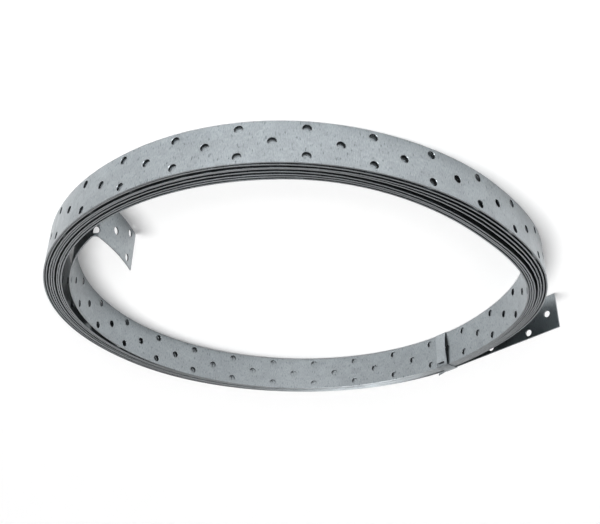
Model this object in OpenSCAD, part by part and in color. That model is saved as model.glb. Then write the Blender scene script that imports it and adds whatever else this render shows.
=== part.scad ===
// Perforated steel strap: a loose coil of galvanised punched strap with its binding tie.
// Sizes in millimetres, axis of the coil along Z, lying flat on the floor at z = 0.

/* [Strap] */
// Width of the strap
strap_width = 30; // [24:1:60]
// Thickness of the strap
strap_thick = 1; // [0.6:0.1:2]

/* [Holes] */
// Diameter of the nail holes
hole_d = 5.5; // [3:0.5:6]
// Distance from one hole to the next along the strap, singles and pairs in turn
hole_step = 20; // [15:1:30]
// Distance across the strap between the two holes of a pair
row_gap = 20; // [14:1:22]
// Distance from the outer end to its first hole, a single one
first_hole = 10; // [6:1:20]
// Turns that are punched at the outside and at the inside of the coil, where the holes show
punched_turns = 2; // [1:1:4]

/* [Coil] */
// Radius of the outermost turn at the middle of its thickness
coil_radius = 185.1; // [150:0.1:220]
// Gap between turns at the side where the tie presses them together
tie_gap = 0.3; // [0.2:0.05:1.5]
// Gap between turns at the side opposite the tie
loose_gap = 1.2; // [0.3:0.05:2]
// Number of half turns in the coil
half_turns = 17; // [9:2:21]

/* [Ends] */
// Length of the straight outer end
tail_length = 110; // [60:5:150]
// Radius of the sharp bend at the inner end, at the middle of the thickness
bend_radius = 3; // [2:0.5:8]
// Angle of the sharp bend
bend_angle = 118; // [90:1:130]
// Length of the curved tab after the bend
tab_length = 46.5; // [30:0.5:70]
// Radius of the curved tab
tab_radius = 145; // [80:5:300]

/* [Tie] */
// Width of the binding strip
tie_width = 12; // [6:1:16]
// Thickness of the binding strip
tie_thick = 0.6; // [0.4:0.1:1]
// Room between the strip and the strap
tie_room = 0.1; // [0.05:0.05:0.3]
// How far the strip bows off the inside of the coil near its top
tie_bow = 3; // [1.5:0.5:5]
// Length of the pointed end of the strip, outside the coil
tie_tip = 14; // [8:1:24]
// Distance from the start of the straight end to the strip
tie_from = 0.5; // [0.5:0.5:6]

/* [Hidden] */
half_t = strap_thick / 2;
// The strip runs under the coil, so the strap starts above the floor.
z0 = tie_thick + tie_room;
coil_end = turn_start(half_turns);
bend_length = bend_radius * bend_angle * PI / 180;
tab_start = coil_end + bend_length;
strap_length = tab_start + tab_length;
tab_angle = tab_length / tab_radius * 180 / PI;
end_radius = joint_r(half_turns);
// The last hole stays as far from the inner end as the first one from the outer end.
hole_count = floor((strap_length - 2 * first_hole) / hole_step + 0.01) + 1;
punch_depth = strap_thick + 0.6;
margin = hole_d / 2 + 1;
bend_steps = 12;
tab_steps = 20;
end_steps = bend_steps + tab_steps;
// Pointed end of the strip: how far it stands out and how wide it is.
tip_out = 3.5;
tip_width = 8;
// Corner of the bowed strip, below the top of the coil and back towards it.
fold_drop = 3;
fold_back = 1.2;
// Box of the whole coil, for a frame at the bottom centre.
x_low = -coil_radius - half_t - tie_room - tie_thick - tip_out;
x_high = coil_radius + half_t;
y_high = turn_r(0) + half_t;
y_low = -turn_r(1) - half_t;
shift_x = -(x_low + x_high) / 2;
shift_y = -(y_low + y_high) / 2;
$fn = 360;

// Distance from the axis at which half turn i begins: even ones at the tie, odd ones opposite it
function joint_r(i) = i % 2 == 0 ? coil_radius - i / 2 * (strap_thick + tie_gap)
    : coil_radius - (i - 1) / 2 * (strap_thick + loose_gap);
// Radius of half turn i, counted from the outer end, and the X of its centre
function turn_r(i) = (joint_r(i) + joint_r(i + 1)) / 2;
function turn_x(i) = (joint_r(i + 1) - joint_r(i)) / 2 * (i % 2 == 0 ? 1 : -1);
// Strap length at which half turn i begins, and the half turn that holds strap length s
function turn_start(i) = i == 0 ? tail_length : turn_start(i - 1) + PI * turn_r(i - 1);
function turn_of(s, i = 0) = (i >= half_turns - 1 || s < turn_start(i + 1)) ? i : turn_of(s, i + 1);
// First and last hole that may cut a length of strap
function hole_from(s) = max(0, ceil((s - margin - first_hole) / hole_step));
function hole_to(s) = min(hole_count - 1, floor((s + margin - first_hole) / hole_step));
function hole_at(k) = first_hole + k * hole_step;
// Whether half turn i lies near enough to the outside or the inside of the coil to be punched
function shows(i) = i < 2 * punched_turns || i >= half_turns - 2 * punched_turns;

// Point n of the inner end in plan, d outwards of the middle: the sharp bend, then the curved tab
function end_point(n, d) = n <= bend_steps
    ? [end_radius - bend_radius + (bend_radius + d) * cos(n * bend_angle / bend_steps),
        -(bend_radius + d) * sin(n * bend_angle / bend_steps)]
    : tab_point(-bend_angle - (n - bend_steps) * tab_angle / tab_steps, tab_radius + d);
function tab_point(a, r) = [
    end_radius - bend_radius - (tab_radius - bend_radius) * cos(bend_angle) + r * cos(a),
    (tab_radius - bend_radius) * sin(bend_angle) + r * sin(a)];

// Moves its children to strap length s: X outwards, at mid width
module on_strap(s) {
    if (s < tail_length) {
        translate([-coil_radius, s - tail_length, 0]) rotate(180) children();
    } else if (s < coil_end) {
        i = turn_of(s);
        a = (s - turn_start(i)) / turn_r(i) * 180 / PI;
        translate([turn_x(i), 0, 0]) rotate((i % 2 == 0 ? 180 : 0) - a)
            translate([turn_r(i), 0, 0]) children();
    } else if (s < tab_start) {
        a = (s - coil_end) / bend_radius * 180 / PI;
        translate([end_radius - bend_radius, 0, 0]) rotate(-a)
            translate([bend_radius, 0, 0]) children();
    } else {
        a = (s - tab_start) / tab_radius * 180 / PI;
        translate([end_radius - bend_radius, 0, 0]) rotate(-bend_angle)
            translate([bend_radius - tab_radius, 0, 0]) rotate(-a)
                translate([tab_radius, 0, 0]) children();
    }
}

// One punched hole, or a pair, for hole number k
module punch(k) {
    on_strap(hole_at(k))
        for (z = k % 2 == 0 ? [0] : [-row_gap / 2, row_gap / 2])
            translate([0, 0, z]) rotate([0, 90, 0])
                cylinder(d = hole_d, h = punch_depth, center = true, $fn = 24);
}

// Punches every hole between two strap lengths out of the piece below it
module punched(s1, s2) {
    difference() {
        children();
        for (k = [hole_from(s1) : hole_to(s2)]) punch(k);
    }
}

// Half turn i, plain: a strip of strap bent round its own centre
module half_turn(i) {
    translate([turn_x(i), 0, 0]) rotate(i % 2 == 0 ? 0 : 180)
        rotate_extrude(angle = 180) translate([turn_r(i) - half_t, -strap_width / 2])
            square([strap_thick, strap_width]);
}

// The whole strap: straight outer end, half turns, sharp bend and tab
module strap() {
    color([0.70, 0.71, 0.72])
        translate([shift_x, shift_y, z0 + strap_width / 2]) {
            punched(0, tail_length)
                translate([-coil_radius - half_t, -tail_length, -strap_width / 2])
                    cube([strap_thick, tail_length, strap_width]);
            for (i = [0 : half_turns - 1])
                if (shows(i)) punched(turn_start(i), turn_start(i + 1)) half_turn(i);
                else half_turn(i);
            punched(coil_end, strap_length)
                translate([0, 0, -strap_width / 2]) linear_extrude(strap_width)
                    polygon(concat([for (n = [0 : end_steps]) end_point(n, half_t)],
                        [for (n = [end_steps : -1 : 0]) end_point(n, -half_t)]));
        }
}

// Strip bent round the bundle where the outer end leaves it, with a pointed end left over
module binding_tie() {
    inner_r = joint_r(half_turns - 1) - half_t;
    // The inside of the coil curves towards the strip over its width.
    curve_in = pow(tie_from + tie_width, 2) / (2 * inner_r - 10);
    xo = -coil_radius - half_t - tie_room;
    xi = -inner_r + curve_in + tie_room;
    top = strap_width + 2 * tie_room;
    color([0.76, 0.77, 0.77])
        translate([shift_x, shift_y, tie_thick]) {
            translate([0, tie_from + tie_width, 0]) rotate([90, 0, 0])
                linear_extrude(tie_width) difference() {
                    polygon([[xo - tie_thick, -tie_thick], [xi + tie_thick, -tie_thick],
                        [xi + tie_thick + tie_bow, top - fold_drop],
                        [xi + tie_bow - fold_back + tie_thick / 2, top + tie_thick],
                        [xo - tie_thick, top + tie_thick]]);
                    polygon([[xo, 0], [xi, 0], [xi + tie_bow, top - fold_drop],
                        [xi + tie_bow - fold_back, top], [xo, top]]);
                }
            translate([0, tie_from + tie_width, top - tip_width - tie_thick]) linear_extrude(tip_width)
                polygon([[xo, -tie_thick / 2], [xo - tie_thick, -tie_thick / 2],
                    [xo - tie_thick - tip_out, tie_tip], [xo - tip_out, tie_tip]]);
        }
}

strap();
binding_tie();
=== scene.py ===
# %% [markdown]
# # A loose coil of perforated steel strap
# The object is nearly ten metres of galvanised steel band, punched for nails and wound into a flat coil
# that a thin tie strip keeps from springing open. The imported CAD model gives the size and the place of
# both pieces. This lesson makes a finer mesh for each of them, with broken rims and uneven gaps between
# the turns, and then gives them their zinc finish, a floor, light and a camera.

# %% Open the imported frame
import math

import bmesh
import bpy
from mathutils import Matrix, Vector


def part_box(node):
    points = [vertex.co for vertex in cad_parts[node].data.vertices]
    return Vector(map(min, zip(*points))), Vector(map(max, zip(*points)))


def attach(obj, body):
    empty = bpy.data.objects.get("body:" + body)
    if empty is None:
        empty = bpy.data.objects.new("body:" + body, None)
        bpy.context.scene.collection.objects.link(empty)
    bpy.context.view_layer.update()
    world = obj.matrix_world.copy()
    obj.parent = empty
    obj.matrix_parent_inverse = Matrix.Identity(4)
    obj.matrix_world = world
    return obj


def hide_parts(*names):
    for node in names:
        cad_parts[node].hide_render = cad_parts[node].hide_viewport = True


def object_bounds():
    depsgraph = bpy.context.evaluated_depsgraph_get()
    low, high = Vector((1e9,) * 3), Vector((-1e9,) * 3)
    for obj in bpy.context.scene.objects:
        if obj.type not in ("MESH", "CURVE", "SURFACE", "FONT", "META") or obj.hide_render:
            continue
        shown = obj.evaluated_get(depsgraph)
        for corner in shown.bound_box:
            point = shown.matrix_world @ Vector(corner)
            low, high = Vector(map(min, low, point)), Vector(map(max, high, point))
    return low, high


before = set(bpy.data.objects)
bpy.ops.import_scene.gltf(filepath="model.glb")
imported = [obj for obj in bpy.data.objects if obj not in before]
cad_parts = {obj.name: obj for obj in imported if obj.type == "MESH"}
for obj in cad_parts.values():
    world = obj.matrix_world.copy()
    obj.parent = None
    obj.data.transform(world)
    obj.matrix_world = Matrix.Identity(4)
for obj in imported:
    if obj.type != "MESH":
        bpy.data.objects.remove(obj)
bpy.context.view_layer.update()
MM = 0.001
print("nodes of the frame:", sorted(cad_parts))

# %% [markdown]
# ## The route of the strap
# The strap starts with a straight end, runs through seventeen half turns, each a little smaller than the
# one before, and ends in a sharp bend and a short curved tab. The mesh is first made flat, because holes
# are easy to punch in a flat sheet, and is then laid along this route. The sizes are those of the part's
# source, in millimetres, and the place of the coil is read from the frame.

# %% Sizes of the strap and of its route
STRAP_WIDTH = 30.0
STRAP_THICK = 1.0
COIL_RADIUS = 185.1
TIE_GAP = 0.3
LOOSE_GAP = 1.2
HALF_TURNS = 17
TAIL_LENGTH = 110.0
BEND_RADIUS = 3.0
BEND_ANGLE = math.radians(118)
TAB_LENGTH = 46.5
TAB_RADIUS = 145.0


def joint_radius(number):
    """Distance from the axis at which a half turn begins: even ones at the tie, odd ones opposite it"""
    if number % 2 == 0:
        return COIL_RADIUS - number / 2 * (STRAP_THICK + TIE_GAP)
    return COIL_RADIUS - (number - 1) / 2 * (STRAP_THICK + LOOSE_GAP)


def half_turn_radius(number):
    return (joint_radius(number) + joint_radius(number + 1)) / 2


def half_turn_centre(number):
    side = 1 if number % 2 == 0 else -1
    return (joint_radius(number + 1) - joint_radius(number)) / 2 * side


turn_starts = [TAIL_LENGTH]
for number in range(HALF_TURNS):
    turn_starts.append(turn_starts[-1] + math.pi * half_turn_radius(number))
COIL_END = turn_starts[-1]
TAB_START = COIL_END + BEND_RADIUS * BEND_ANGLE
STRAP_LENGTH = TAB_START + TAB_LENGTH
END_RADIUS = joint_radius(HALF_TURNS)
print("strap length in mm:", round(STRAP_LENGTH, 1))

# %% Place of the coil in the frame
strap_low, strap_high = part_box("strap")
CENTRE_X = strap_high.x / MM - COIL_RADIUS - STRAP_THICK / 2
CENTRE_Y = strap_low.y / MM + half_turn_radius(1) + STRAP_THICK / 2
MID_HEIGHT = (strap_low.z + strap_high.z) / 2 / MM
print("coil centre in mm:", round(CENTRE_X, 3), round(CENTRE_Y, 3), "mid height:", round(MID_HEIGHT, 3))

# %% [markdown]
# ## How a real coil lies
# A wound strap never lies as an even spiral. Some sides of the coil are pressed together, others stand
# apart, and the outline is not quite round. A simulated spring would find some such shape, but not this
# coil's, so a table gives it. Each side in the table pushes the turns out or in, by an amount that goes
# evenly from the outermost turn to the innermost one. A slow wave then shifts every turn by less than half
# of the gap beside it, so no turns cut. The straight end and the tab have the mounts and keep their place,
# so all this fades towards them.

# %% Table of the uneven winding
# A side has its place in parts of a turn from the tie, clockwise seen from above, its reach both ways,
# and how far the outermost and the innermost turn are pushed outwards there, in mm.
SIDES = [
    (0.00, 0.10, -2.1, 0.0),
    (0.15, 0.14, -3.0, 0.0),
    (0.39, 0.10, 1.6, 0.6),
    (0.44, 0.20, 0.0, 4.0),
    (0.62, 0.11, 2.6, 0.3),
    (0.77, 0.13, -7.2, -7.4),
    (0.87, 0.10, 6.5, 4.4),
]
# Outer turns that stand off the turns inside them, or lie closer to them where the distance is negative:
# how many turns from the outside, their place and reach as above, and the distance in mm.
STAND_OFFS = [
    (1, 0.56, 0.14, -0.6),
    (1, 0.77, 0.13, 0.5),
    (2, 0.77, 0.13, 1.5),
    (3, 0.77, 0.13, 1.7),
    (4, 0.77, 0.13, 2.3),
    (6, 0.64, 0.13, 0.6),
]
TURNS = HALF_TURNS / 2


def hump(place, middle, reach):
    """A smooth hump of height 1 that is 0 beyond its reach"""
    away = abs(place - middle)
    return 0.5 + 0.5 * math.cos(math.pi * away / reach) if away < reach else 0.0


def fade(place, start, end):
    """A smooth step from 0 at its start to 1 at its end"""
    part = min(1.0, max(0.0, (place - start) / (end - start)))
    return part * part * (3 - 2 * part)


def side_push(place, part):
    """Outward push at a place round the coil, for a turn this part of the way from outside to inside"""
    push = 0.0
    for middle, reach, outer, inner in SIDES:
        nearby = (place - middle + 0.5) % 1.0
        push += hump(nearby, 0.5, reach) * (outer + (inner - outer) * part)
    return push


def gap_at(place):
    """Gap between neighbouring turns at a place round the coil"""
    even = (TIE_GAP + LOOSE_GAP) / 2 - (LOOSE_GAP - TIE_GAP) / 2 * math.cos(2 * math.pi * place)
    return even + (side_push(place, 0.0) - side_push(place, 1.0)) / TURNS


print("gaps between turns in mm:", [round(gap_at(part / 8), 2) for part in range(8)])

# %% Shift of the turns and lift of their edges
# Each pair says, in turns from the tie, where something sets in and where it has come about.
LEAVES_SPIRAL = (0.0, 0.1)
BACK_ON_SPIRAL = (8.05, 8.3)
WAVE_GROWS = (0.5, 1.5)
EDGES_GROW = (0.0, 0.3)
EDGES_SETTLE = (8.2, 8.5)
FREE_OF_TIE = (0.02, 0.1)
# The wave shifts a turn by part of its gap, and the edges rise or dip in mm. Waves are in radians a turn.
WAVE = 0.45
SLOW_SHARE = 0.6
SLOW_WAVE = 2.0
QUICK_WAVE = 2 * math.pi + 2.6
EDGE_WAVE = 0.2
ROUND_WAVE = 2 * math.pi + 1.7
RIPPLE_SHARE = 0.6
RIPPLE_WAVE = 4 * math.pi + 2.9


def shift_out(turn):
    """How far the strap lies outside the even spiral, in mm"""
    place = turn % 1.0
    free = fade(turn, *LEAVES_SPIRAL) * (1 - fade(turn, *BACK_ON_SPIRAL))
    wave = SLOW_SHARE * math.sin(SLOW_WAVE * turn) + (1 - SLOW_SHARE) * math.sin(QUICK_WAVE * turn)
    wave *= WAVE * gap_at(place) * fade(turn, *WAVE_GROWS)
    shift = free * (side_push(place, turn / TURNS) + wave)
    for turns, middle, reach, distance in STAND_OFFS:
        if turn < turns:
            shift += distance * hump(place, middle, reach)
    return shift


def lift(turn):
    """How far an edge stands off the level, in mm"""
    from_tie = abs((turn + 0.5) % 1.0 - 0.5)
    free = fade(from_tie, *FREE_OF_TIE) * fade(turn, *EDGES_GROW) * (1 - fade(turn, *EDGES_SETTLE))
    return EDGE_WAVE * free * (math.sin(ROUND_WAVE * turn) + RIPPLE_SHARE * math.sin(RIPPLE_WAVE * turn))


print("shift of the outermost turn in mm:", [round(shift_out(part / 8), 2) for part in range(8)])

# %% Point on the laid strap


def coil_half_turn(along):
    """Number of the half turn that holds this strap length"""
    number = 0
    while number < HALF_TURNS - 1 and along >= turn_starts[number + 1]:
        number += 1
    return number


def strap_point(along, outward, up):
    """Place in metres of a point of the flat strap, given in mm along it, outwards and upwards"""
    rise = 0.0
    if along < TAIL_LENGTH:
        x, y = -COIL_RADIUS - outward, along - TAIL_LENGTH
    elif along < COIL_END:
        number = coil_half_turn(along)
        swept = (along - turn_starts[number]) / half_turn_radius(number)
        turn = (number + swept / math.pi) / 2
        radius = half_turn_radius(number) + outward + shift_out(turn)
        angle = (math.pi if number % 2 == 0 else 0.0) - swept
        x = half_turn_centre(number) + radius * math.cos(angle)
        y = radius * math.sin(angle)
        rise = lift(turn)
    elif along < TAB_START:
        angle = -(along - COIL_END) / BEND_RADIUS
        x = END_RADIUS - BEND_RADIUS + (BEND_RADIUS + outward) * math.cos(angle)
        y = (BEND_RADIUS + outward) * math.sin(angle)
    else:
        angle = -BEND_ANGLE - (along - TAB_START) / TAB_RADIUS
        offset = TAB_RADIUS - BEND_RADIUS
        x = END_RADIUS - BEND_RADIUS - offset * math.cos(BEND_ANGLE)
        x += (TAB_RADIUS + outward) * math.cos(angle)
        y = offset * math.sin(BEND_ANGLE) + (TAB_RADIUS + outward) * math.sin(angle)
    return Vector((x + CENTRE_X, y + CENTRE_Y, up + rise + MID_HEIGHT)) * MM


print("free end of the tab:", tuple(round(c, 4) for c in strap_point(STRAP_LENGTH, 0, 0)))

# %% [markdown]
# ## One repeat of the punched strap
# The hole pattern repeats every 40 mm: a single hole in the middle, then a pair across the width. One
# repeat is cut from a flat sheet. A boolean cut could punch it, but leaves long thin faces that bend badly.
# So planes slice the sheet into rows and columns, with a small square of faces round each hole. The square
# is taken out, a circle is put in, and a bridge joins the two, which keeps the ring round the hole even
# when the strap is bent later. The circle is lifted while it is bridged, because a bridge between two
# loops in one plane and on one centre comes out twisted.

# %% Rows and columns of the flat sheet
HOLE_DIAMETER = 5.5
HOLE_STEP = 20.0
ROW_GAP = 20.0
FIRST_HOLE = 10.0
REPEAT = 2 * HOLE_STEP
TILE = 7.5
CELL = TILE / 3

hole_places = [(FIRST_HOLE, 0.0)]
for side in (-1, 1):
    hole_places.append((FIRST_HOLE + HOLE_STEP, side * ROW_GAP / 2))
tile_lines = [-1.5 * CELL, -0.5 * CELL, 0.5 * CELL, 1.5 * CELL]
rows = [middle + line for middle in (-ROW_GAP / 2, 0.0, ROW_GAP / 2) for line in tile_lines]
punched_columns = [HOLE_STEP]
for middle in (FIRST_HOLE, FIRST_HOLE + HOLE_STEP):
    punched_columns += [middle + line for line in tile_lines]
plain_columns = [REPEAT * part / 3 for part in (1, 2)]
print("rows:", len(rows) + 1, "columns:", len(punched_columns) + 1)

# %% Slice and punch the sheet
HOLE_SIDES = 24
BRIDGE_LIFT = 3.0


def everything(mesh):
    return mesh.verts[:] + mesh.edges[:] + mesh.faces[:]


def sliced_sheet(columns):
    """A flat sheet one repeat long, X along it and Y across it, cut into rows and columns"""
    sheet = bmesh.new()
    bmesh.ops.create_grid(sheet, x_segments=1, y_segments=1, size=0.5)
    bmesh.ops.scale(sheet, vec=(REPEAT, STRAP_WIDTH, 1), verts=sheet.verts)
    bmesh.ops.translate(sheet, vec=(REPEAT / 2, 0, -STRAP_THICK / 2), verts=sheet.verts)
    for x in columns:
        bmesh.ops.bisect_plane(sheet, geom=everything(sheet), plane_co=(x, 0, 0), plane_no=(1, 0, 0))
    for y in rows:
        bmesh.ops.bisect_plane(sheet, geom=everything(sheet), plane_co=(0, y, 0), plane_no=(0, 1, 0))
    return sheet


def punch(sheet, along, across):
    """Takes a square of faces out of the sheet and bridges its rim to a round hole"""
    tile = []
    for face in sheet.faces:
        middle = face.calc_center_median()
        if abs(middle.x - along) < TILE / 2 and abs(middle.y - across) < TILE / 2:
            tile.append(face)
    square = [e for face in tile for e in face.edges if sum(f in tile for f in e.link_faces) == 1]
    bmesh.ops.delete(sheet, geom=tile, context="FACES")
    halved = bmesh.ops.bisect_edges(sheet, edges=square, cuts=HOLE_SIDES // len(square) - 1)["geom_split"]
    square = list(set(square) | {part for part in halved if isinstance(part, bmesh.types.BMEdge)})
    place = Matrix.Translation((along, across, BRIDGE_LIFT - STRAP_THICK / 2))
    ring = bmesh.ops.create_circle(
        sheet, cap_ends=False, segments=HOLE_SIDES, radius=HOLE_DIAMETER / 2, matrix=place)
    circle = list({e for v in ring["verts"] for e in v.link_edges})
    bmesh.ops.bridge_loops(sheet, edges=square + circle)
    bmesh.ops.translate(sheet, vec=(0, 0, -BRIDGE_LIFT), verts=ring["verts"])


print("sides of a hole:", HOLE_SIDES)

# %% Thicken the sheet and break its rims
RIM = 0.14
WELD = 0.01
# A face is flat, or an upright wall, by the share of its normal that points along Z.
FLAT = 0.9
UPRIGHT = 0.1
# Numbers of the strap's materials beside its zinc
SLIT_WALL = 1
HOLE_WALL = 2


def thicken(sheet, thick):
    """Gives the flat sheet its thickness along Z"""
    grown = bmesh.ops.extrude_face_region(sheet, geom=sheet.faces[:], use_keep_orig=True)
    raised = [part for part in grown["geom"] if isinstance(part, bmesh.types.BMVert)]
    bmesh.ops.translate(sheet, vec=(0, 0, thick), verts=raised)
    bmesh.ops.recalc_face_normals(sheet, faces=sheet.faces[:])


def break_rims(sheet, size):
    """Bevels every edge between a flat side and a wall, and marks slit walls and hole walls"""
    rims = []
    for edge in sheet.edges:
        slopes = [abs(face.normal.z) for face in edge.link_faces]
        if len(slopes) == 2 and max(slopes) > FLAT and min(slopes) < UPRIGHT:
            rims.append(edge)
    bmesh.ops.bevel(
        sheet, geom=rims, offset=size, segments=1, profile=0.5, affect="EDGES", material=-1)
    for face in sheet.faces:
        if abs(face.normal.z) < UPRIGHT:
            in_hole = abs(face.calc_center_median().y) < STRAP_WIDTH / 2 - size
            face.material_index = HOLE_WALL if in_hole else SLIT_WALL


def strap_repeat(columns, holes):
    """Mesh of one repeat of the strap, open at both ends"""
    sheet = sliced_sheet(columns)
    for along, across in holes:
        punch(sheet, along, across)
    thicken(sheet, STRAP_THICK)
    ends = [f for f in sheet.faces if abs(f.calc_center_median().x - REPEAT / 2) > REPEAT / 2 - WELD]
    bmesh.ops.delete(sheet, geom=ends, context="FACES")
    break_rims(sheet, RIM)
    mesh = bpy.data.meshes.new("strap_repeat")
    sheet.to_mesh(mesh)
    sheet.free()
    return mesh


punched_repeat = strap_repeat(punched_columns, hole_places)
plain_repeat = strap_repeat(plain_columns, [])
print("faces of a punched and a plain repeat:", len(punched_repeat.polygons), len(plain_repeat.polygons))

# %% [markdown]
# ## The whole strap
# The repeats are set end to end and welded, and the two cut ends are closed. Only the turns that can be
# seen carry holes, the two outermost and the two innermost, as in the part's source: the others lie hidden
# between them. Extra slices go through the sharp bend so that it comes out round. A curve modifier could
# then lay the strap on a drawn line, but it would stretch the holes. Here every point of the flat strap
# moves to its place on the route by its strap length, which keeps their spacing.

# %% Join the repeats
PUNCHED_TURNS = 2


def is_punched(along):
    """Whether this place of the strap lies near enough to the outside or the inside to show"""
    number = coil_half_turn(along)
    return number < 2 * PUNCHED_TURNS or number >= HALF_TURNS - 2 * PUNCHED_TURNS


strip = bmesh.new()
onward = Matrix.Translation((REPEAT, 0, 0))
repeats = round(STRAP_LENGTH / REPEAT)
for number in range(repeats):
    strip.from_mesh(punched_repeat if is_punched((number + 0.5) * REPEAT) else plain_repeat)
    punched_repeat.transform(onward)
    plain_repeat.transform(onward)
bmesh.ops.remove_doubles(strip, verts=strip.verts[:], dist=WELD)
bpy.data.meshes.remove(punched_repeat)
bpy.data.meshes.remove(plain_repeat)
print("repeats:", repeats, "faces of the flat strap:", len(strip.faces))

# %% Close the ends and slice the bend
BEND_SLICES = 10
BEND_ROOM = 12.0
open_ends = [edge for edge in strip.edges if edge.is_boundary]
caps = bmesh.ops.edgeloop_fill(strip, edges=open_ends)["faces"]
for cap in caps:
    cap.material_index = SLIT_WALL
bmesh.ops.bevel(
    strip, geom=list({e for cap in caps for e in cap.edges}), offset=RIM, segments=1, profile=0.5,
    affect="EDGES", material=-1)
for cut in range(BEND_SLICES + 1):
    along = COIL_END + (TAB_START - COIL_END) * cut / BEND_SLICES
    near = [f for f in strip.faces if abs(f.calc_center_median().x - along) < BEND_ROOM]
    around_cut = near + list({e for f in near for e in f.edges}) + list({v for f in near for v in f.verts})
    bmesh.ops.bisect_plane(strip, geom=around_cut, plane_co=(along, 0, 0), plane_no=(1, 0, 0))
print("closed ends:", len(caps), "open edges left:", sum(e.is_boundary for e in strip.edges))

# %% Lay the strap along its route
SHARP = math.radians(30)
flat_layer = strip.loops.layers.uv.new("flat_sheet")
for face in strip.faces:
    face.smooth = True
    for loop in face.loops:
        loop[flat_layer].uv = (loop.vert.co.x * MM, loop.vert.co.y * MM)
for vert in strip.verts:
    vert.co = strap_point(vert.co.x, vert.co.z, -vert.co.y)
strap_mesh = bpy.data.meshes.new("wound_strap")
strip.to_mesh(strap_mesh)
strip.free()
strap_mesh.set_sharp_from_angle(angle=SHARP)
wound_strap = bpy.data.objects.new("wound_strap", strap_mesh)
bpy.context.scene.collection.objects.link(wound_strap)
strap_mesh.calc_loop_triangles()
print("triangles of the strap:", len(strap_mesh.loop_triangles))

# %% Hand the strap to the frame
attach(wound_strap, "root")
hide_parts("strap")
laid_low, laid_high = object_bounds()
print("box of the part with this strap:", [round(c, 4) for c in (*laid_low, *laid_high)])

# %% [markdown]
# ## The binding tie
# The tie is a thin strip bent once round the bundle. Inside the coil it bows away from the turns halfway
# up and folds back over them at the top, where a small window stays open beside the fold. One of its edges
# lies on the turns, so the bow shows at the other. The CAD node is straight there and has no window, so
# the strip is made anew. A closed line of a few points with rounded corners is drawn out to its width, the
# window is cut and one edge laid down. A free end that tapers is added outside the coil, and modifiers
# give the sheet its thickness and break its rims.

# %% Outline of the tie
TIE_WIDTH = 12.0
TIE_THICK = 0.6
TIE_ROOM = 0.1
TIE_FROM = 0.5
TIE_BOW = 2.1
BOW_POINTS = 5
FOLD_ROOM = 0.9
# The inside of the coil curves towards the strip over its width. The circle is taken a little smaller.
CURVE_ROOM = 10.0

inside = joint_radius(HALF_TURNS - 1) - STRAP_THICK / 2
curve_in = (TIE_FROM + TIE_WIDTH) ** 2 / (2 * inside - CURVE_ROOM)
outer_x = CENTRE_X - COIL_RADIUS - STRAP_THICK / 2 - TIE_ROOM
inner_x = CENTRE_X - inside + curve_in + TIE_ROOM
tie_y = CENTRE_Y + TIE_FROM
top_z = TIE_THICK + STRAP_WIDTH + 2 * TIE_ROOM
half = TIE_THICK / 2
outline = [(outer_x - half, half), (inner_x + half, half)]
for number in range(1, BOW_POINTS + 1):
    part = number / (BOW_POINTS + 1)
    outline.append((inner_x + half + TIE_BOW * math.sin(math.pi * part), half + top_z * part))
outline += [(inner_x + half + FOLD_ROOM, top_z + half), (outer_x - half, top_z + half)]
print("tie reaches from x", round(outer_x, 2), "to", round(inner_x + TIE_BOW, 2))

# %% Bend the strip round the bundle
TIE_CORNER = 0.9
CORNER_STEPS = 4
tie = bmesh.new()
corners = [tie.verts.new((x, tie_y, z)) for x, z in outline]
for number in range(len(corners)):
    tie.edges.new((corners[number - 1], corners[number]))
bmesh.ops.bevel(
    tie, geom=corners, offset=TIE_CORNER, segments=CORNER_STEPS, profile=0.5, affect="VERTICES", material=-1)
drawn = bmesh.ops.extrude_edge_only(tie, edges=tie.edges[:])
drawn_verts = [part for part in drawn["geom"] if isinstance(part, bmesh.types.BMVert)]
bmesh.ops.translate(tie, vec=(0, TIE_WIDTH, 0), verts=drawn_verts)
print("faces round the tie:", len(tie.faces))

# %% Window at the fold
WINDOW_FROM = 3.0
WINDOW_EDGE = 0.35
WINDOW_HEIGHT = 3.0
fold_high = top_z - WINDOW_EDGE
fold_low = fold_high - WINDOW_HEIGHT
window_low_y = tie_y + WINDOW_FROM
window_high_y = tie_y + TIE_WIDTH - WINDOW_EDGE
for y in (window_low_y, window_high_y):
    bmesh.ops.bisect_plane(tie, geom=everything(tie), plane_co=(0, y, 0), plane_no=(0, 1, 0))
for z in (fold_low, fold_high):
    bmesh.ops.bisect_plane(tie, geom=everything(tie), plane_co=(0, 0, z), plane_no=(0, 0, 1))
window = []
for face in tie.faces:
    middle = face.calc_center_median()
    in_height = fold_low < middle.z < fold_high
    if in_height and window_low_y < middle.y < window_high_y and middle.x > inner_x:
        window.append(face)
bmesh.ops.delete(tie, geom=window, context="FACES")
print("faces cut out at the fold:", len(window))

# %% Lay one edge of the strip against the coil
SNUG = 0.95
# Near the fold, between these distances from the top, the strip comes loose again, but for its very edge.
LOOSE_FROM = 10.0
LOOSE_TO = 3.0
for vert in tie.verts:
    bow = vert.co.x - inner_x - half
    if bow > 0:
        across = (vert.co.y - tie_y) / TIE_WIDTH
        at_fold = fade(vert.co.z, top_z - LOOSE_FROM, top_z - LOOSE_TO) if across < 1 else 0.0
        vert.co.x -= SNUG * across * (1 - at_fold) * bow
print("bow left at the loose edge in mm:", round(max(v.co.x for v in tie.verts) - inner_x - half, 2))

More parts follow.
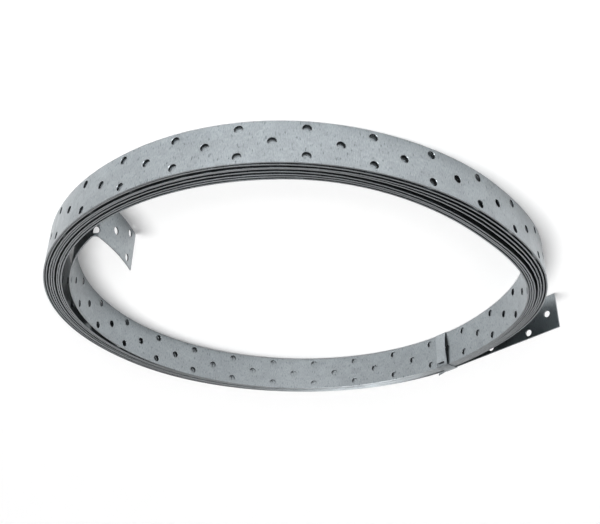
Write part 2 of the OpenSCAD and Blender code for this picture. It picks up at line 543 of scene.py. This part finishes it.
# %% Free end outside the coil
TIE_TIP = 14.0
TIP_OUT = 3.5
TIP_WIDTH = 8.0
TIP_NARROW = 0.85
TIP_CELLS = (8, 2)
tip = bmesh.new()
bmesh.ops.create_grid(tip, x_segments=TIP_CELLS[0], y_segments=TIP_CELLS[1], size=0.5)
tip_foot = tie_y + TIE_WIDTH - half
tip_top = top_z - TIE_THICK
for vert in tip.verts:
    run = vert.co.x + 0.5
    drop = (0.5 - vert.co.y) * TIP_WIDTH * (1 - TIP_NARROW * run)
    vert.co = (outer_x - half - (TIP_OUT - half) * run, tip_foot + TIE_TIP * run, tip_top - drop)
tip_mesh = bpy.data.meshes.new("tip")
tip.to_mesh(tip_mesh)
tip.free()
tie.from_mesh(tip_mesh)
bpy.data.meshes.remove(tip_mesh)
print("faces with the free end:", len(tie.faces))

# %% Mesh of the tie
bmesh.ops.scale(tie, vec=(MM, MM, MM), verts=tie.verts[:])
bmesh.ops.recalc_face_normals(tie, faces=tie.faces[:])
tie_layer = tie.loops.layers.uv.new("flat_sheet")
for face in tie.faces:
    face.smooth = True
    for loop in face.loops:
        loop[tie_layer].uv = (loop.vert.co.z - loop.vert.co.x, loop.vert.co.y)
tie_mesh = bpy.data.meshes.new("bent_tie")
tie.to_mesh(tie_mesh)
tie.free()
bent_tie = bpy.data.objects.new("bent_tie", tie_mesh)
bpy.context.scene.collection.objects.link(bent_tie)
print("faces of the thin sheet:", len(tie_mesh.polygons))

# %% Thickness and rims of the tie
TIE_RIM = 0.08
RIM_ANGLE = math.radians(50)
wall = bent_tie.modifiers.new("sheet thickness", "SOLIDIFY")
wall.thickness = TIE_THICK * MM
wall.offset = 0.0
wall.use_even_offset = True
broken = bent_tie.modifiers.new("broken rims", "BEVEL")
broken.width = TIE_RIM * MM
broken.segments = 2
broken.limit_method = "ANGLE"
broken.angle_limit = RIM_ANGLE
broken.harden_normals = True
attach(bent_tie, "root")
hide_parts("binding_tie")
print("tie modifiers:", [modifier.name for modifier in bent_tie.modifiers])

# %% [markdown]
# ## Galvanised steel
# The sheet was dipped in zinc before it was slit to bands and punched. Zinc sets in small crystals, so the
# flat sides have a cool, satin look with soft clouds, and the rolled surface shows dark flecks and short
# marks across the band. A picture of zinc could be laid on, but it would repeat over ten metres of strap,
# so nodes work the patterns out. Clouds and crystals go by the place in space, and marks and flecks follow
# the flat sheet, which each piece keeps as its UV map. One function turns sRGB hex colours to linear
# values, and one adds a node with its settings and links.

# %% Helpers for materials
# A Mix node repeats its socket names, so its two colours and its result go by their numbers.
FIRST_COLOUR = 6
SECOND_COLOUR = 7
MIXED_COLOUR = 2


def colour(hex_value):
    """Linear colour of an sRGB hex value"""
    parts = []
    for place in (0, 2, 4):
        level = int(hex_value[place:place + 2], 16) / 255
        parts.append(level / 12.92 if level <= 0.04045 else ((level + 0.055) / 1.055) ** 2.4)
    return (*parts, 1.0)


def add(tree, kind, inputs=None, **settings):
    """Adds a node, sets its properties, and gives inputs, by name or number, a link or a value"""
    node = tree.nodes.new(kind)
    for name, value in settings.items():
        setattr(node, name, value)
    for name, source in (inputs or {}).items():
        if isinstance(source, bpy.types.NodeSocket):
            tree.links.new(node.inputs[name], source)
        else:
            node.inputs[name].default_value = source
    return node


def new_material(name):
    material = bpy.data.materials.new(name)
    material.use_nodes = True
    material.node_tree.nodes.clear()
    return material, material.node_tree


print("middle grey as linear values:", tuple(round(c, 3) for c in colour("808080")[:3]))

# %% Zinc on the flat sides
CLOUD = 35 * MM
CRYSTAL = 6 * MM
# Real marks and flecks are finer than a pixel of the picture, so these are drawn coarse enough to show.
MARK_ALONG = 0.6 * MM
MARK_ACROSS = 2.2 * MM
FLECK_ALONG = 1.1 * MM
# How much a crystal or a mark darkens or lightens the zinc, and where in their noise marks and flecks lie
CRYSTAL_SHADES = (0.94, 1.04)
MARK_SHADES = (0.84, 1.11)
MARK_SPAN = (0.3, 0.7)
FLECK_SPAN = (0.60, 0.74)
SATIN = (0.29, 0.37)
ZINC_GRIT = 0.10
GRIT_DEPTH = 0.2 * MM


def galvanised(name, pale, dark, fleck_colour):
    """Hot-dip zinc on rolled steel: satin, clouded, with small crystals, short marks and dark flecks"""
    material, tree = new_material(name)
    place = add(tree, "ShaderNodeTexCoord").outputs["Object"]
    clouds = add(tree, "ShaderNodeTexNoise", {"Vector": place, "Scale": 1 / CLOUD, "Detail": 4.0})
    crystals = add(tree, "ShaderNodeTexVoronoi", {"Vector": place, "Scale": 1 / CRYSTAL})
    tint = add(tree, "ShaderNodeSeparateColor", {"Color": crystals.outputs["Color"]})
    flat = add(tree, "ShaderNodeUVMap", uv_map="flat_sheet").outputs["UV"]
    stretch = (1 / MARK_ALONG, 1 / MARK_ACROSS, 1.0)
    drawn_out = add(tree, "ShaderNodeMapping", {"Vector": flat, "Scale": stretch}).outputs["Vector"]
    marks = add(tree, "ShaderNodeTexNoise", {"Vector": drawn_out, "Scale": 1.0, "Detail": 3.0})
    fleck_scale = MARK_ALONG / FLECK_ALONG
    flecks = add(tree, "ShaderNodeTexNoise", {"Vector": drawn_out, "Scale": fleck_scale, "Detail": 2.0})
    crystal_shade = add(
        tree, "ShaderNodeMapRange",
        {"Value": tint.outputs["Red"], "To Min": CRYSTAL_SHADES[0], "To Max": CRYSTAL_SHADES[1]})
    mark_shade = add(
        tree, "ShaderNodeMapRange",
        {"Value": marks.outputs["Fac"], "From Min": MARK_SPAN[0], "From Max": MARK_SPAN[1],
         "To Min": MARK_SHADES[0], "To Max": MARK_SHADES[1]})
    sparse = add(
        tree, "ShaderNodeMapRange",
        {"Value": flecks.outputs["Fac"], "From Min": FLECK_SPAN[0], "From Max": FLECK_SPAN[1]})
    satin = add(
        tree, "ShaderNodeMapRange",
        {"Value": tint.outputs["Green"], "To Min": SATIN[0], "To Max": SATIN[1]})
    clouded = add(
        tree, "ShaderNodeMix",
        {"Factor": clouds.outputs["Fac"], FIRST_COLOUR: colour(dark), SECOND_COLOUR: colour(pale)},
        data_type="RGBA")
    grained = add(
        tree, "ShaderNodeMix",
        {"Factor": 1.0, FIRST_COLOUR: clouded.outputs[MIXED_COLOUR],
         SECOND_COLOUR: crystal_shade.outputs["Result"]},
        data_type="RGBA", blend_type="MULTIPLY")
    marked = add(
        tree, "ShaderNodeMix",
        {"Factor": 1.0, FIRST_COLOUR: grained.outputs[MIXED_COLOUR],
         SECOND_COLOUR: mark_shade.outputs["Result"]},
        data_type="RGBA", blend_type="MULTIPLY")
    flecked = add(
        tree, "ShaderNodeMix",
        {"Factor": sparse.outputs["Result"], FIRST_COLOUR: marked.outputs[MIXED_COLOUR],
         SECOND_COLOUR: colour(fleck_colour)},
        data_type="RGBA")
    grit = add(
        tree, "ShaderNodeBump",
        {"Height": flecks.outputs["Fac"], "Strength": ZINC_GRIT, "Distance": GRIT_DEPTH})
    shader = add(
        tree, "ShaderNodeBsdfPrincipled",
        {"Base Color": flecked.outputs[MIXED_COLOUR], "Roughness": satin.outputs["Result"],
         "Normal": grit.outputs["Normal"], "Metallic": 1.0})
    add(tree, "ShaderNodeOutputMaterial", {"Surface": shader.outputs["BSDF"]})
    return material


# The strap's zinc is dull grey with a soft sheen, and the tie's a shade paler and cleaner.
zinc = galvanised("galvanised_steel", pale="A2A8AB", dark="90969A", fleck_colour="6A7074")
wound_strap.data.materials.append(zinc)
tie_zinc = galvanised("tie_steel", pale="B0B6B9", dark="A0A6AA", fleck_colour="757B7F")
bent_tie.data.materials.append(tie_zinc)
print("zinc materials:", zinc.name, tie_zinc.name)

# %% [markdown]
# ## Bare steel, and painted shade in the holes
# Slitting and punching cut through the zinc. A slit edge is scraped bright, while the wall of a hole is
# painted nearly black, as painted shade for the shadow inside the hole. They could share the zinc of the
# sides, but edges and holes would then be lost against it. So the faces that were marked when the rims
# were broken get two materials of their own, made by one function and different in their colours only.

# %% Bare steel on the slit edges and painted shade in the holes
# Real shear marks are finer than a pixel too, and are drawn coarse enough to show.
SHEAR_MARK = 1.4 * MM
SHEARED = (0.34, 0.52)
SHEAR_GRIT = 0.12


def sheared(name, pale, dark):
    """Slit steel, or the dark painted shade of a hole wall: metal with short shear marks"""
    material, tree = new_material(name)
    place = add(tree, "ShaderNodeTexCoord").outputs["Object"]
    marks = add(tree, "ShaderNodeTexNoise", {"Vector": place, "Scale": 1 / SHEAR_MARK, "Detail": 3.0})
    base = add(
        tree, "ShaderNodeMix",
        {"Factor": marks.outputs["Fac"], FIRST_COLOUR: colour(dark), SECOND_COLOUR: colour(pale)},
        data_type="RGBA")
    rough = add(
        tree, "ShaderNodeMapRange",
        {"Value": marks.outputs["Fac"], "To Min": SHEARED[0], "To Max": SHEARED[1]})
    grit = add(
        tree, "ShaderNodeBump",
        {"Height": marks.outputs["Fac"], "Strength": SHEAR_GRIT, "Distance": GRIT_DEPTH})
    shader = add(
        tree, "ShaderNodeBsdfPrincipled",
        {"Base Color": base.outputs[MIXED_COLOUR], "Roughness": rough.outputs["Result"],
         "Normal": grit.outputs["Normal"], "Metallic": 1.0})
    add(tree, "ShaderNodeOutputMaterial", {"Surface": shader.outputs["BSDF"]})
    return material


# Slit edges are scraped bright and draw thin light lines, and the hole walls are painted nearly black as
# painted shade inside the holes.
bare_edge = sheared("sheared_steel", pale="C2C5C7", dark="A2A5A8")
wound_strap.data.materials.append(bare_edge)
# Nearly black hole walls: painted shade for the shadow inside each hole.
painted_hole_shade = sheared("hole_walls_painted_shade", pale="4A4D50", dark="2E3133")
wound_strap.data.materials.append(painted_hole_shade)
print("materials of the strap:", [material.name for material in wound_strap.data.materials])

# %% [markdown]
# ## White paper
# The coil lies on white paper that curves up to a rim all round, as in a studio, so that no edge of the
# floor shows from any side. A plane with a wall behind would do for one view only, so a profile is spun
# round the coil. More lamps could make the paper white, but they would bleach the steel. Instead the camera
# and reflections see a little light of the paper's own, and it still takes the coil's shadow.

# %% White paper sweep
FLOOR_RADIUS = 2.4
SWEEP_RADIUS = 1.0
SWEEP_STEPS = 12
RIM_HEIGHT = 1.8
FLOOR_SIDES = 96
sweep = bmesh.new()
profile = [sweep.verts.new((0, 0, 0)), sweep.verts.new((FLOOR_RADIUS, 0, 0))]
for step in range(1, SWEEP_STEPS + 1):
    angle = math.pi / 2 * step / SWEEP_STEPS
    out, up = SWEEP_RADIUS * math.sin(angle), SWEEP_RADIUS * (1 - math.cos(angle))
    profile.append(sweep.verts.new((FLOOR_RADIUS + out, 0, up)))
profile.append(sweep.verts.new((FLOOR_RADIUS + SWEEP_RADIUS, 0, RIM_HEIGHT)))
lines = [sweep.edges.new(pair) for pair in zip(profile, profile[1:])]
bmesh.ops.spin(
    sweep, geom=profile + lines, cent=(0, 0, 0), axis=(0, 0, 1), angle=2 * math.pi, steps=FLOOR_SIDES,
    use_merge=True)
bmesh.ops.remove_doubles(sweep, verts=sweep.verts[:], dist=MM)
# The normals come out on the outside of the bowl, and the coil lies in it, so all faces are turned over.
bmesh.ops.recalc_face_normals(sweep, faces=sweep.faces[:])
bmesh.ops.reverse_faces(sweep, faces=sweep.faces[:])
for face in sweep.faces:
    face.smooth = True
floor_mesh = bpy.data.meshes.new("floor")
sweep.to_mesh(floor_mesh)
sweep.free()
floor = bpy.data.objects.new("floor", floor_mesh)
bpy.context.scene.collection.objects.link(floor)
print("floor with its rim is", 2 * (FLOOR_RADIUS + SWEEP_RADIUS), "m wide")

# %% Matt paper
# Uncoated paper scatters light evenly, so the eye sees plain white with a soft shadow and no shine.
FLOOR_GLOW = 0.1
paper, tree = new_material("uncoated_paper")
path = add(tree, "ShaderNodeLightPath").outputs
direct = add(
    tree, "ShaderNodeMath", {0: path["Is Camera Ray"], 1: path["Is Glossy Ray"]}, operation="MAXIMUM")
seen = add(
    tree, "ShaderNodeMath", {0: direct.outputs[0], 1: path["Is Transmission Ray"]}, operation="MAXIMUM")
glow = add(tree, "ShaderNodeMath", {0: seen.outputs[0], 1: FLOOR_GLOW}, operation="MULTIPLY")
matt = add(tree, "ShaderNodeBsdfDiffuse", {"Color": colour("F4F4F4")})
shine = add(tree, "ShaderNodeEmission", {"Color": colour("FFFFFF"), "Strength": glow.outputs[0]})
both = add(tree, "ShaderNodeAddShader", {0: matt.outputs["BSDF"], 1: shine.outputs["Emission"]})
add(tree, "ShaderNodeOutputMaterial", {"Surface": both.outputs["Shader"]})
floor_mesh.materials.append(paper)
print("paper glows by", FLOOR_GLOW, "of white")

# %% [markdown]
# ## The camera
# The picture is taken from close by, so the near wall comes out taller than the far one. The lens could be
# judged by eye, but the holes of the strap tell it: the lens, distance and direction here are those that
# bring the holes to their places in the picture. The camera looks down on the coil by about thirty degrees
# and is turned over, so that the near wall is at the top.

# %% Camera
PHOTO_WIDTH = 600
FOCAL_PIXELS = 801.0
SENSOR = 36.0
LOOK_AT = Vector((26.08, -40.43, 15.7)) * MM
DISTANCE = 587.1 * MM
AZIMUTH = math.radians(-52.92)
ELEVATION = math.radians(29.57)
ROLL = math.radians(180 + 1.11)


def direction(azimuth, elevation):
    """Unit vector from the coil towards this azimuth and elevation, in radians"""
    level = math.cos(elevation)
    return Vector((level * math.cos(azimuth), level * math.sin(azimuth), math.sin(elevation)))


towards = direction(AZIMUTH, ELEVATION)
level_right = (-towards).cross(Vector((0, 0, 1))).normalized()
level_up = level_right.cross(-towards)
right = math.cos(ROLL) * level_right + math.sin(ROLL) * level_up
upward = -math.sin(ROLL) * level_right + math.cos(ROLL) * level_up
camera_data = bpy.data.cameras.new("camera")
camera_data.sensor_width = SENSOR
camera_data.lens = FOCAL_PIXELS / PHOTO_WIDTH * SENSOR
camera = bpy.data.objects.new("camera", camera_data)
camera.matrix_world = Matrix((right, upward, towards)).transposed().to_4x4()
camera.matrix_world.translation = LOOK_AT + DISTANCE * towards
bpy.context.scene.collection.objects.link(camera)
bpy.context.scene.camera = camera
print("camera at", tuple(round(c, 3) for c in camera.matrix_world.translation))

# %% [markdown]
# ## Light
# Zinc is a dull mirror, so it takes its looks from what is bright around it. One low lamp in front lights
# the near wall, and a high, wide sun gives the paper its soft light. The sky is a dim grey, which the edges
# on top mirror, so that they stay darker than the sides. A picture of a studio could light the scene too,
# but a lamp, a sun and a plain sky can each be changed alone.

# %% Lamps and sky
# A lamp's place is its azimuth and elevation in degrees and its distance in metres, seen from the coil.
FRONT_PLACE = (-50, 8, 0.65)
FRONT_SIZE = 0.35
FRONT_POWER = 4.4
SUN_PLACE = (25, 72, 2.0)
SUN_SPREAD = math.radians(35)
SUN_STRENGTH = 2.2
SKY = 0.24


def hang_lamp(lamp, azimuth, elevation, distance):
    """Hangs a lamp in this direction from the coil, looking at it"""
    holder = bpy.data.objects.new(lamp.name, lamp)
    away = direction(math.radians(azimuth), math.radians(elevation))
    holder.location = distance * away
    holder.rotation_euler = away.to_track_quat("Z", "Y").to_euler()
    bpy.context.scene.collection.objects.link(holder)


front_lamp = bpy.data.lights.new("front_lamp", "AREA")
front_lamp.size = FRONT_SIZE
front_lamp.energy = FRONT_POWER
hang_lamp(front_lamp, *FRONT_PLACE)
high_sun = bpy.data.lights.new("high_sun", "SUN")
high_sun.energy = SUN_STRENGTH
high_sun.angle = SUN_SPREAD
hang_lamp(high_sun, *SUN_PLACE)
world = bpy.data.worlds.new("grey_sky")
world.use_nodes = True
world.node_tree.nodes["Background"].inputs["Color"].default_value = (SKY, SKY, SKY, 1.0)
bpy.context.scene.world = world
bpy.context.scene.view_settings.view_transform = "Standard"

# %% [markdown]
# ## Finish
# The dressed part has to fill the same box as the solids that it stands for. Its box is printed once the
# strap is handed to the frame, and here the scene is brought up to date.

# %% Finish
bpy.context.view_layer.update()
